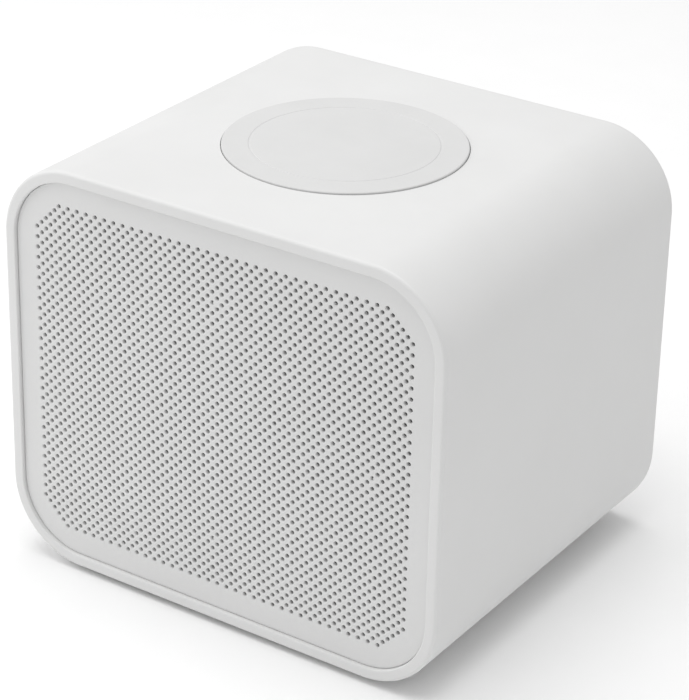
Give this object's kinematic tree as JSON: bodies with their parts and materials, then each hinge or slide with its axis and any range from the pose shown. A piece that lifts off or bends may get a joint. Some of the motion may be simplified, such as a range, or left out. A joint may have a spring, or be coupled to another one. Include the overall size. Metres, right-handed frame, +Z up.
{
  "type": "wireless charging speaker",
  "caption": "Cube-like tabletop loudspeaker with a white rounded sleeve, a perforated front panel and a wireless charging top for a phone.",
  "frame": {"origin": "middle of the base on the floor, at the feet's underside", "axes": "+X to the right seen from the front, +Y to the back (the grille faces -Y), +Z up"},
  "size_m": [0.13, 0.11, 0.113],
  "materials": {
    "shell": "fine moulded texture, matte white",
    "grille": "smooth matte white, perforated",
    "cover": "fine moulded texture, matte white",
    "cloth": "fine woven grey acoustic cloth",
    "black_plastic": "plain moulded",
    "foam": "closed-cell foam",
    "foot_rubber": "matte",
    "pad_silicone": "matte silicone",
    "driver_steel": "zinc plated",
    "surround_rubber": "soft matte",
    "cone_paper": "coated pulp",
    "spider_cloth": "resin-treated weave",
    "copper": "enamelled copper wire",
    "ferrite": "sintered ferrite",
    "card": "phenolic card",
    "screw_steel": "zinc plated",
    "circuit_board": "green solder mask on glass-epoxy",
    "bright_steel": "tinned steel",
    "heat_sink_aluminium": "extruded, clear anodised",
    "capacitor_sleeve": "shrink sleeve",
    "clear_plastic": "clear moulded",
    "lead_sleeve": "PVC insulation",
    "button_rubber": "matte silicone caps",
    "socket_plastic": "moulded"
  },
  "bodies": {
    "cabinet": {"main_shell": "shell", "front_grille": "grille", "rear_cover": "cover", "grille_cloth": "cloth", "front_baffle": "black_plastic", "coil_tray": "black_plastic", "rear_gasket": "foam", "driver_gasket": "foam", "foot_1": "foot_rubber", "foot_2": "foot_rubber", "foot_3": "foot_rubber", "foot_4": "foot_rubber", "charging_pad": "pad_silicone", "driver_basket": "driver_steel", "driver_front_plate": "driver_steel", "driver_yoke": "driver_steel", "driver_surround": "surround_rubber", "driver_spider": "spider_cloth", "charging_coil": "copper", "driver_magnet": "ferrite", "ferrite_sheet": "ferrite", "power_inductor": "ferrite", "driver_terminals": "card", "baffle_screw_1": "screw_steel", "baffle_screw_2": "screw_steel", "baffle_screw_3": "screw_steel", "baffle_screw_4": "screw_steel", "cover_screw_1": "screw_steel", "cover_screw_2": "screw_steel", "cover_screw_3": "screw_steel", "cover_screw_4": "screw_steel", "driver_screw_1": "screw_steel", "driver_screw_2": "screw_steel", "driver_screw_3": "screw_steel", "driver_screw_4": "screw_steel", "board_screw_1": "screw_steel", "board_screw_2": "screw_steel", "board_screw_3": "screw_steel", "board_screw_4": "screw_steel", "coil_screw_1": "screw_steel", "coil_screw_2": "screw_steel", "main_board": "circuit_board", "control_board": "circuit_board", "charger_board": "circuit_board", "radio_module": "bright_steel", "power_inlet": "bright_steel", "heat_sink": "heat_sink_aluminium", "capacitor": "capacitor_sleeve", "light_pipe": "clear_plastic", "driver_lead": "lead_sleeve", "coil_lead": "lead_sleeve", "control_lead": "lead_sleeve", "audio_socket": "socket_plastic"},
    "cone": {"driver_cone": "cone_paper", "driver_dust_cap": "cone_paper", "driver_voice_coil": "copper"},
    "power_button": {"power_button": "button_rubber"},
    "volume_down_button": {"volume_down_button": "button_rubber"},
    "play_button": {"play_button": "button_rubber"},
    "volume_up_button": {"volume_up_button": "button_rubber"}
  },
  "joints": [
    {"name": "cone_travel", "type": "slide", "parent": "cabinet", "child": "cone", "axis": [0, 1, 0], "range_m": [-0.0015, 0.0015], "stiffness_N_per_m": 1500, "deforming": ["driver_surround", "driver_spider"]},
    {"name": "power_button_press", "type": "slide", "parent": "cabinet", "child": "power_button", "axis": [0, -1, 0], "range_m": [0, 0.0008], "stiffness_N_per_m": 1500},
    {"name": "volume_down_button_press", "type": "slide", "parent": "cabinet", "child": "volume_down_button", "axis": [0, -1, 0], "range_m": [0, 0.0008], "stiffness_N_per_m": 1500},
    {"name": "play_button_press", "type": "slide", "parent": "cabinet", "child": "play_button", "axis": [0, -1, 0], "range_m": [0, 0.0008], "stiffness_N_per_m": 1500},
    {"name": "volume_up_button_press", "type": "slide", "parent": "cabinet", "child": "volume_up_button", "axis": [0, -1, 0], "range_m": [0, 0.0008], "stiffness_N_per_m": 1500}
  ]
}
